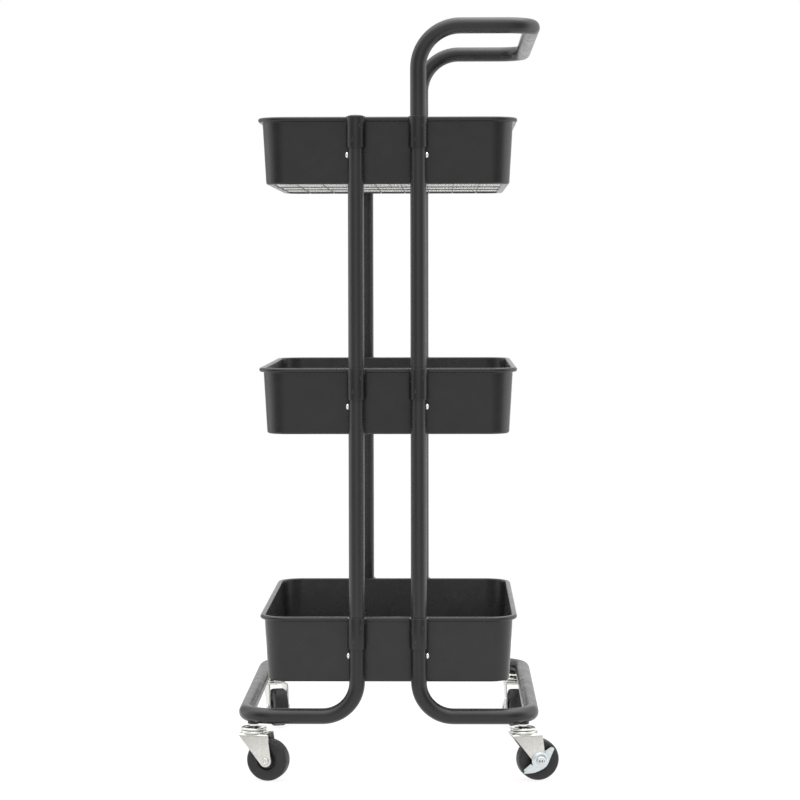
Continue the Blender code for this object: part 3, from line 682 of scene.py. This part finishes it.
def support_grid():
    """Round wires: the lengthwise ones on top, three across below them, where they are welded."""
    low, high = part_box("support_grid_top")
    half_x, half_y = (high.x - low.x) / 2, (high.y - low.y) / 2
    radius = (high.z - low.z) * WIRE_RADIUS_SHARE
    bm = bmesh.new()
    for index in range(WIRES_LENGTHWISE):
        x = (index - (WIRES_LENGTHWISE - 1) / 2) * WIRE_PITCH_X
        pin(bm, (x, -half_y, -radius), (x, half_y, -radius), radius, WIRE_SIDES)
    for index in (-1, 0, 1):
        y, z = index * WIRE_PITCH_Y, -radius * 2.3
        pin(bm, (-half_x, y, z), (half_x, y, z), radius * 0.9, WIRE_SIDES)
    return mesh_data(bm, "wire_grid")


def tray_floors():
    panel = mesh_floor()
    wires = support_grid()
    for tray in TRAYS:
        low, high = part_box(f"mesh_floor_{tray}")
        spot = Matrix.Translation((CART_X, 0, (low.z + high.z) / 2))
        piece_of(panel.copy(), f"{tray}_mesh", MESH_ZINC, ROOT, [f"mesh_floor_{tray}"],
                 spot, 30)
        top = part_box(f"support_grid_{tray}")[1].z
        spot = Matrix.Translation((CART_X, 0, top))
        piece_of(wires.copy(), f"{tray}_wires", WIRE_COAT, ROOT,
                 [f"support_grid_{tray}"], spot, 50)


# Screws

SCREW_HEAD_RADIUS = 0.0039
SCREW_HEAD_HEIGHT = 0.0030
SCREW_SHANK_RADIUS = 0.0020
SCREW_SHANK_SHOWN = 0.002


def screw_head():
    """A pan head with a cross recess and a short shank, along +Z from the tube's surface."""
    radius, height = SCREW_HEAD_RADIUS, SCREW_HEAD_HEIGHT
    dome = [(0, height), (radius * 0.35, height * 0.985), (radius * 0.62, height * 0.92),
            (radius * 0.82, height * 0.78), (radius * 0.95, height * 0.55), (radius, height * 0.30),
            (radius, 0.0), (SCREW_SHANK_RADIUS, 0.0), (SCREW_SHANK_RADIUS, -SCREW_SHANK_SHOWN),
            (0, -SCREW_SHANK_SHOWN)]
    head = lathe(dome, 40)
    cross = bmesh.new()
    for turn in (0, math.pi / 2):
        size = Matrix.Diagonal((radius * 1.15, radius * 0.26, height * 1.2, 1))
        spot = Matrix.Rotation(turn, 4, "Z") @ Matrix.Translation((0, 0, height)) @ size
        blade = bmesh.new()
        bmesh.ops.create_cube(blade, size=1, matrix=spot)
        cross = boolean(cross, blade, "UNION") if cross.faces else blade
    return mesh_data(boolean(head, cross, "DIFFERENCE"), "pan_head")


def screws():
    head = screw_head()
    turns = random.Random(7)
    for tray in TRAYS:
        for end in ENDS:
            for side in SIDES:
                node = f"screw_{tray}_{end}_{side}"
                sign = SIDE_SIGN[side]
                x, y = upright_axis(end, side)
                spot = Matrix.Translation((x + sign * TUBE_RADIUS, y, middle(node).z))
                face = Matrix.Rotation(sign * math.pi / 2, 4, "Y")
                spin = Matrix.Rotation(turns.uniform(0, math.pi / 2), 4, "Z")
                piece_of(head.copy(), f"{tray}_screw_{end}_{side}", SCREW_ZINC, ROOT,
                         [node], spot @ face @ spin, 30)


# Casters.  Local frame: swivel axis Z, wheel trails towards +X, axle along Y, brake on the -Y side.

STEM_RADIUS = 0.0040
SOCKET_BORE = 0.0042
SOCKET_EDGE = 0.0006
SOCKET_NECK = 0.0030
UPPER_RACE_LIP_Z = 0.0612
LOWER_RACE_BORE = 0.0046
LOWER_RACE_LOW_Z = 0.0572
LOWER_RACE_HIGH_Z = 0.0604
FORK_BEND = 0.0034
FORK_FOOT_Z = 0.010
FORK_STEM_HOLE = 0.0044
FORK_AXLE_HOLE = 0.0032
LEVER_HOLE = 0.0031
LEVER_GAP = 0.0003
LEVER_RIM_STAND = 0.0010
LEVER_GRIP_WIDTH = 0.0026
LEVER_GRIP_TOOTH = 0.0004
LEVER_GRIP_RIBS = 5
RIVET_STAND = 0.0004
CAP_RADIUS = 0.0054
CAP_THICK = 0.0012
CAP_STAND = 0.0016
CAP_HOLE_X = 0.0025
CAP_HOLE_RADIUS = 0.0019


def caster_places(corner):
    """World matrices of a caster's swivel frame and of its axle."""
    roll = JOINTS[f"roll_{corner}"]
    swivel = JOINTS[f"swivel_{corner}"]
    axle = Vector(roll["pos_m"])
    foot = Vector((swivel["pos_m"][0], swivel["pos_m"][1], 0))
    along = Vector((axle.x - foot.x, axle.y - foot.y, 0)).normalized()
    turn = Matrix.Rotation(math.atan2(along.y, along.x), 4, "Z")
    return Matrix.Translation(foot) @ turn, Matrix.Translation(axle) @ turn


def socket_ring():
    low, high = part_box("caster_socket_front_left")
    flange = (high.x - low.x) / 2
    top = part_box("base_tube_left")[0].z
    rounding = arc((flange - SOCKET_EDGE, low.z + SOCKET_EDGE), SOCKET_EDGE, -90, 0, 3)
    profile = [(SOCKET_BORE, low.z), *rounding, (flange, top),
               (flange * 0.86, top + SOCKET_NECK), (SOCKET_BORE, top + SOCKET_NECK)]
    return mesh_data(lathe(profile), "socket_ring")


def stem_and_race():
    """The upper race: a domed cup with a rolled lip, on the stem that enters the socket."""
    low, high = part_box("caster_stem_front_left")
    lip = UPPER_RACE_LIP_Z
    stem = STEM_RADIUS
    profile = [
        (0, low.z), (0.0044, low.z), (0.0058, low.z + 0.0008), (0.0058, low.z + 0.0018),
        (stem, low.z + 0.0022), (stem, lip + 0.0004), (0.0112, lip + 0.0004),
        (0.0118, lip + 0.0009), (0.0132, lip),
        *arc((RACE_RADIUS - 0.0013, lip + 0.0013), 0.0013, -90, 75, 7),
        (0.0132, lip + 0.0023), (0.0120, lip + 0.0021), (0.0092, lip + 0.0025),
        (0.0070, lip + 0.0031), (0.0056, lip + 0.0037), (0.0051, lip + 0.0042),
        (0.0051, lip + 0.0066), (0.0047, lip + 0.0070), (stem, lip + 0.0071), (stem, high.z),
        (0, high.z),
    ]
    return mesh_data(lathe(profile), "stem_and_race")


def lower_race():
    """The ring under the ball track, bulging over the fork's top plate."""
    low, high, bore = LOWER_RACE_LOW_Z, LOWER_RACE_HIGH_Z, LOWER_RACE_BORE
    bulge = arc((RACE_RADIUS - 0.0017, 0.0589), 0.0017, -60, 80, 8)
    return lathe([(bore, low), (0.0150, low), *bulge, (0.0126, high), (0.0112, 0.0598),
                  (0.0100, high), (bore, high)])


def fork_outline():
    """Side view of the fork: wide at the top, round at the axle."""
    foot = (CASTER_TRAIL, WHEEL_RADIUS)
    back = (FORK_BACK_X, FORK_TOP_Z)
    slope = math.degrees(math.atan2(back[1] - foot[1], back[0] - foot[0]))
    tangent = math.degrees(math.acos(FORK_FOOT_RADIUS / math.dist(back, foot)))
    over = 0.001
    top_back = arc((FORK_BACK_X + 0.0012, FORK_TOP_Z - 0.0006), 0.0014, 100, 215, 5)
    top_front = arc((FORK_FRONT_X - 0.0014, FORK_TOP_Z - 0.0010), 0.0018, 5, 80, 4)
    return [*top_front, (FORK_FRONT_X - 0.002, FORK_TOP_Z + over),
            (FORK_BACK_X + 0.002, FORK_TOP_Z + over), *top_back,
            *arc(foot, FORK_FOOT_RADIUS, slope + tangent, 364, 20)]


def fork():
    """The stamped fork: a bent channel trimmed to its side view, with its mouth and holes cut."""
    outer = FORK_LEG_OUTER
    bend = FORK_BEND
    inner_bend = bend - FORK_SHEET
    foot = FORK_FOOT_Z
    top = FORK_TOP_Z
    section = [(-outer, foot), *arc((-outer + bend, top - bend), bend, 180, 90, 6),
               *arc((outer - bend, top - bend), bend, 90, 0, 6), (outer, foot),
               (outer - FORK_SHEET, foot), *arc((outer - bend, top - bend), inner_bend, 0, 90, 4),
               *arc((-outer + bend, top - bend), inner_bend, 90, 180, 4),
               (-outer + FORK_SHEET, foot)]
    channel = bmesh.new()
    skin(channel, [[channel.verts.new((x, y, z)) for y, z in section] for x in (-0.020, 0.030)])
    body = boolean(channel, prism(fork_outline(), -0.02, 0.02, "Y"), "INTERSECT")
    mouth = [(FORK_PLATE_FRONT_X, 0.050), (0.030, 0.050), (0.030, 0.062),
             (FORK_PLATE_FRONT_X, 0.062)]
    body = boolean(body, prism(mouth, -FORK_LEG_INNER, FORK_LEG_INNER, "Y"), "DIFFERENCE")
    axle = ((CASTER_TRAIL, -0.02, WHEEL_RADIUS), (CASTER_TRAIL, 0.02, WHEEL_RADIUS))
    for start, end, radius, sides in (((0, 0, 0.050), (0, 0, 0.062), FORK_STEM_HOLE, 40),
                                      (*axle, FORK_AXLE_HOLE, 32)):
        hole = bmesh.new()
        pin(hole, start, end, radius, sides)
        body = boolean(body, hole, "DIFFERENCE")
    return mesh_data(body, "fork_channel")


def axle_pin(brake_side, plain_side):
    """A hollow rivet: a rod with a rolled head at each end and a dimple in each head."""
    def head(reach):
        return [(0, reach - 0.0002), (0.0014, reach - 0.0002), (0.0019, reach + 0.0007),
                *arc((0.0032, reach + 0.0004), 0.0009, 110, 20, 4), (0.0044, reach - 0.0002),
                (0.0044, reach - 0.0004), (0.0030, reach - 0.0004)]
    brake_head = [(radius, -z) for radius, z in reversed(head(brake_side + RIVET_STAND))]
    return turned_to_y(lathe(head(plain_side + RIVET_STAND) + brake_head, 48))


def cap_pins(reach, deep, radius):
    """Two short pins side by side in the cap's face."""
    bm = bmesh.new()
    for side in (-1, 1):
        spot = side * CAP_HOLE_X
        pin(bm, (spot, -reach - 0.001, 0), (spot, deep - reach, 0), radius, 24)
    return bm


def lever_cap(reach):
    """The flat cap over the axle's end on the brake side, with two spanner holes."""
    profile = [(0, reach), (CAP_RADIUS - 0.0006, reach), (CAP_RADIUS, reach - 0.0005),
               (CAP_RADIUS, reach - CAP_THICK), (0, reach - CAP_THICK)]
    cap = turned_to_y(lathe([(radius, -z) for radius, z in profile], 48))
    return boolean(cap, cap_pins(reach, CAP_THICK * 0.75, CAP_HOLE_RADIUS), "DIFFERENCE")


def lever_cap_hole_shade(reach):
    """Dark discs in the bottom of the two spanner holes: painted shade standing in for the shade
    inside them.
    """
    bm = bmesh.new()
    for side in (-1, 1):
        spot = side * CAP_HOLE_X
        pin(bm, (spot, CAP_THICK * 0.3 - reach, 0), (spot, CAP_THICK * 0.74 - reach, 0),
            CAP_HOLE_RADIUS - 0.00005, 24)
    return bm


def wheel():
    """One-piece wheel: hub, recessed ring, dished web, rounded tread with a parting line."""
    half = [
        (0.0033, 0.0106), (0.0040, HUB_HALF_WIDTH), (0.0074, HUB_HALF_WIDTH), (0.0080, 0.0106),
        (0.0082, 0.0068), (0.0087, 0.0060), (0.0101, 0.0060), (0.0107, 0.0066), (0.0112, 0.0086),
        (0.0120, 0.0092), (0.0160, 0.0094), (0.0172, 0.0097), (0.0196, 0.0097),
        *arc((0.0208, 0.0056), 0.0041, 88, 10, 9), (0.0249, 0.0030), (0.02496, 0.0004),
        (WHEEL_RADIUS, 0.0001),
    ]
    profile = half + [(radius, -z) for radius, z in reversed(half)]
    return mesh_data(turned_to_y(lathe(profile, 96)), "wheel")


def lever_outline():
    """Front view of the brake lever round its axle: a round boss and two swept arms."""
    boss = arc((0, 0), LEVER_BOSS_RADIUS, 60, 205, 18)
    low_tip = [(-0.0198, -0.0130), (-0.0204, -0.0137), (-0.0202, -0.0146), (-0.0190, -0.0149)]
    belly = [(-0.0120, -0.0146), (-0.0070, -0.0140), (-0.0020, -0.0124), (0.0030, -0.0101),
             (0.0072, -0.0072), (0.0100, -0.0028), (0.0122, 0.0030)]
    high_tip = [(0.0162, 0.0118), (0.0169, 0.0132), (0.0168, 0.0144), (0.0158, 0.0154),
                (0.0148, 0.0155)]
    return boss + low_tip + belly + high_tip


def brake_lever():
    """The stamped lever: a flat plate with a hole for the axle."""
    face = -FORK_LEG_OUTER - LEVER_GAP
    plate = prism(lever_outline(), face - LEVER_SHEET, face, "Y")
    hole = bmesh.new()
    pin(hole, (0, face - 0.01, 0), (0, face + 0.01, 0), LEVER_HOLE, 32)
    return boolean(plate, hole, "DIFFERENCE")


def lever_boss():
    """The raised ring pressed into the lever round its centre."""
    face = FORK_LEG_OUTER + LEVER_GAP + LEVER_SHEET
    profile = [(LEVER_HOLE, face - 0.0002), (LEVER_HOLE, face + 0.0009), (0.0050, face + 0.0010),
               (0.0074, face + 0.0008), (0.0088, face + 0.0004), (0.0093, face - 0.0002)]
    return turned_to_y(lathe([(radius, -z) for radius, z in profile]))


def lever_flange(start, end):
    """A grip edge turned in towards the wheel along one arm, with small ribs."""
    start, end = Vector(start), Vector(end)
    along = (end - start).normalized()
    out = Vector((-along.y, along.x))
    if out.y < 0:
        out = -out
    face = -FORK_LEG_OUTER - LEVER_GAP
    front = face - LEVER_SHEET
    back = face - 0.0002
    length = (end - start).length
    bm = bmesh.new()
    steps = LEVER_GRIP_RIBS * 4
    rings = []
    for index in range(steps + 1):
        root = start + along * (length * index / steps)
        rise = LEVER_GRIP_TOOTH * (1 + math.cos(index * math.pi / 2)) / 2
        low, high = root - out * 0.0006, root + out * LEVER_GRIP_WIDTH
        rings.append([bm.verts.new(spot) for spot in (
            (low.x, front + 0.0002, low.y), (root.x, front - rise, root.y),
            (high.x, back - 0.0005 - rise, high.y), (high.x, back, high.y), (low.x, back, low.y))])
    skin(bm, rings)
    return bm


def casters():
    ring = socket_ring()
    stem = stem_and_race()
    channel = fork()
    roller = wheel()
    for corner in CORNERS:
        swivel, axle = caster_places(corner)
        braked = f"brake_{corner}" in JOINTS
        fork_body = f"fork_{corner}"
        foot = Matrix.Translation(swivel.translation)
        piece_of(ring.copy(), f"socket_{corner}", SOCKET_BLACK, ROOT,
                 [f"caster_socket_{corner}"], foot)
        piece_of(stem.copy(), f"stem_{corner}", RACE_ZINC, ROOT,
                 [f"caster_stem_{corner}"], foot)
        piece_of(channel.copy(), f"fork_{corner}", ZINC, fork_body,
                 [f"caster_fork_{corner}"], swivel, 30, bevel=0.0005)
        piece_from(lower_race(), f"race_{corner}", RACE_ZINC, fork_body, (), swivel)
        plain = FORK_LEG_OUTER + RIVET_STAND
        brake = plain + LEVER_SHEET + LEVER_RIM_STAND if braked else plain
        piece_from(axle_pin(brake, plain), f"rivet_{corner}", ZINC, fork_body,
                   [f"caster_axle_{corner}"], axle)
        piece_of(roller.copy(), f"wheel_{corner}", WHEEL_BLACK, f"wheel_{corner}",
                 [f"caster_wheel_{corner}"], axle, 40)
        if braked:
            body = f"brake_{corner}"
            piece_from(brake_lever(), f"lever_{corner}", LEVER_ZINC, body,
                       [f"brake_lever_{corner}"], axle, 30, bevel=0.0003)
            piece_from(lever_boss(), f"lever_boss_{corner}", LEVER_ZINC, body, (), axle)
            face = brake + CAP_STAND
            piece_from(lever_cap(face), f"lever_cap_{corner}", LEVER_ZINC, fork_body,
                       (), axle)
            # Dark discs in the spanner holes: painted shade, not dirt.
            piece_from(lever_cap_hole_shade(face), f"lever_cap_hole_shade_{corner}", SOCKET_BLACK, fork_body,
                       (), axle)
            high = lever_flange((0.0062, 0.0090), (0.0146, 0.0142))
            low = lever_flange((-0.0190, -0.0126), (-0.0100, -0.0052))
            piece_from(high, f"lever_grip_high_{corner}", LEVER_ZINC, body, (), axle)
            piece_from(low, f"lever_grip_low_{corner}", LEVER_ZINC, body, (), axle)


# Studio

FLOOR_HALF = 1.0
FLOOR_DROP = 0.0002
FLOOR_GREY = 0.12
FLOOR_GLOW = 0.88
SOFT_BOX_OFFSET = (0.5, 0.3, 2.2)
SOFT_BOX_SIZE = 1.2
SOFT_BOX_POWER = 8

# Brightness of the white tent round the cart, by the angle from the camera's side: 0 is the side
# the camera stands on, 1 is behind the cart.
TENT_LEFT = [(0.0, 1.02), (0.09, 0.76), (0.22, 0.36), (0.33, 0.46), (0.45, 1.3), (0.60, 1.8),
             (0.76, 0.60), (0.88, 0.70), (0.95, 1.1), (1.0, 1.1)]
TENT_RIGHT = [(0.0, 1.02), (0.09, 0.76), (0.22, 0.36), (0.36, 0.52), (0.51, 1.8), (0.64, 1.6),
              (0.77, 1.0), (0.88, 0.85), (0.95, 1.15), (1.0, 1.15)]
# How far the tent's bright top has taken over, by the sine of the height above the horizon.
TENT_RISE = [(0.42, 0.0), (0.64, 0.22), (0.83, 0.66), (0.96, 1.0)]
TENT_TOP = 3.1
TENT_SCALE = 4.0


def white_tent():
    """A world that is plain white to look at and lights the cart mostly from its sides."""
    world = bpy.data.worlds.new("white_tent")
    world.use_nodes = True
    tree = world.node_tree
    tree.nodes.clear()

    def add(kind, *sources, **settings):
        node = tree.nodes.new(kind)
        for key, value in settings.items():
            setattr(node, key, value)
        for socket, source in enumerate(sources):
            if isinstance(source, (int, float)):
                node.inputs[socket].default_value = source
            else:
                tree.links.new(source, node.inputs[socket])
        return node.outputs[0]

    def grey_ramp(factor, stops, scale=TENT_SCALE):
        node = tree.nodes.new("ShaderNodeValToRGB")
        fill_ramp(node, [(position, value / scale) for position, value in stops])
        tree.links.new(factor, node.inputs["Fac"])
        return node.outputs["Color"]

    place = tree.nodes.new("ShaderNodeTexCoord").outputs["Generated"]
    split = tree.nodes.new("ShaderNodeSeparateXYZ")
    tree.links.new(place, split.inputs[0])
    x, y, z = split.outputs
    front = add("ShaderNodeMath", y, -1.0, operation="MULTIPLY")
    turn = add("ShaderNodeMath", x, front, operation="ARCTAN2")
    turn = add("ShaderNodeMath", turn, operation="ABSOLUTE")
    turn = add("ShaderNodeMath", turn, math.pi, operation="DIVIDE")
    right = add("ShaderNodeMath", x, 0.0, operation="GREATER_THAN")
    round_cart = tree.nodes.new("ShaderNodeMix")
    round_cart.data_type = "RGBA"
    tree.links.new(right, round_cart.inputs[0])
    tree.links.new(grey_ramp(turn, TENT_LEFT), round_cart.inputs[6])
    tree.links.new(grey_ramp(turn, TENT_RIGHT), round_cart.inputs[7])
    high = grey_ramp(z, TENT_RISE, 1.0)
    tent = tree.nodes.new("ShaderNodeMix")
    tent.data_type = "RGBA"
    tree.links.new(high, tent.inputs[0])
    tree.links.new(round_cart.outputs[2], tent.inputs[6])
    top = TENT_TOP / TENT_SCALE
    tent.inputs[7].default_value = (top, top, top, 1)
    lit = tree.nodes.new("ShaderNodeBackground")
    tree.links.new(tent.outputs[2], lit.inputs["Color"])
    lit.inputs["Strength"].default_value = TENT_SCALE
    seen = tree.nodes.new("ShaderNodeBackground")
    seen.inputs["Color"].default_value = (1, 1, 1, 1)
    seen.inputs["Strength"].default_value = 1.0
    choice = tree.nodes.new("ShaderNodeMixShader")
    tree.links.new(tree.nodes.new("ShaderNodeLightPath").outputs["Is Camera Ray"], choice.inputs[0])
    tree.links.new(lit.outputs[0], choice.inputs[1])
    tree.links.new(seen.outputs[0], choice.inputs[2])
    output = tree.nodes.new("ShaderNodeOutputWorld")
    tree.links.new(choice.outputs[0], output.inputs["Surface"])
    bpy.context.scene.world = world


def studio():
    floor_bm = bmesh.new()
    bmesh.ops.create_grid(floor_bm, x_segments=1, y_segments=1, size=FLOOR_HALF)
    mesh = mesh_data(floor_bm, "studio_floor")
    mesh.materials.append(studio_white("floor_white", FLOOR_GREY, FLOOR_GLOW))
    floor = bpy.data.objects.new("studio_floor", mesh)
    bpy.context.scene.collection.objects.link(floor)
    floor.location.z = CAD_BOX[0].z - FLOOR_DROP
    white_tent()
    bpy.context.scene.view_settings.view_transform = "Standard"
    bpy.context.scene.view_settings.look = "None"

    centre = (CAD_BOX[0] + CAD_BOX[1]) / 2
    soft_box("top_box", centre + Vector(SOFT_BOX_OFFSET), centre, SOFT_BOX_SIZE, SOFT_BOX_POWER)


def soft_box(name, place, target, size, power):
    light = bpy.data.lights.new(name, "AREA")
    light.shape = "SQUARE"
    light.size = size
    light.energy = power
    lamp = bpy.data.objects.new(name, light)
    bpy.context.scene.collection.objects.link(lamp)
    lamp.location = place
    lamp.rotation_mode = "QUATERNION"
    lamp.rotation_quaternion = (Vector(target) - Vector(place)).to_track_quat("-Z", "Y")


FOCAL_PIXELS = 2491
FRAME_PIXELS = 800
SENSOR = 36.0
CAMERA_RIGHT_OF_CART = 0.0674
CAMERA_BEFORE_CART = 3.1575
CAMERA_HEIGHT = 0.6098
CAMERA_DOWN = 2.939
CAMERA_LEFT = 1.01
CAMERA_ROLL = 0.10


def camera():
    """A long lens at tray height, looking along +Y at the front end of the cart."""
    lens = bpy.data.cameras.new("camera")
    lens.sensor_width = SENSOR
    lens.lens = FOCAL_PIXELS / FRAME_PIXELS * SENSOR
    lens.clip_start = 0.05
    lens.clip_end = 100
    eye = bpy.data.objects.new("camera", lens)
    bpy.context.scene.collection.objects.link(eye)
    eye.location = (CART_X + CAMERA_RIGHT_OF_CART, -CAMERA_BEFORE_CART, CAMERA_HEIGHT)
    turns = (90 - CAMERA_DOWN, CAMERA_ROLL, CAMERA_LEFT)
    eye.rotation_euler = [math.radians(angle) for angle in turns]
    bpy.context.scene.camera = eye


camera()
studio()
for side_name in SIDES:
    base_tube(side_name)
handle()
for span_name in ("lower", "upper"):
    for end_name in ENDS:
        for side_name in SIDES:
            upright(span_name, end_name, side_name)
for end_name in ENDS:
    end_plug(end_name)
trays()
tray_floors()
screws()
casters()
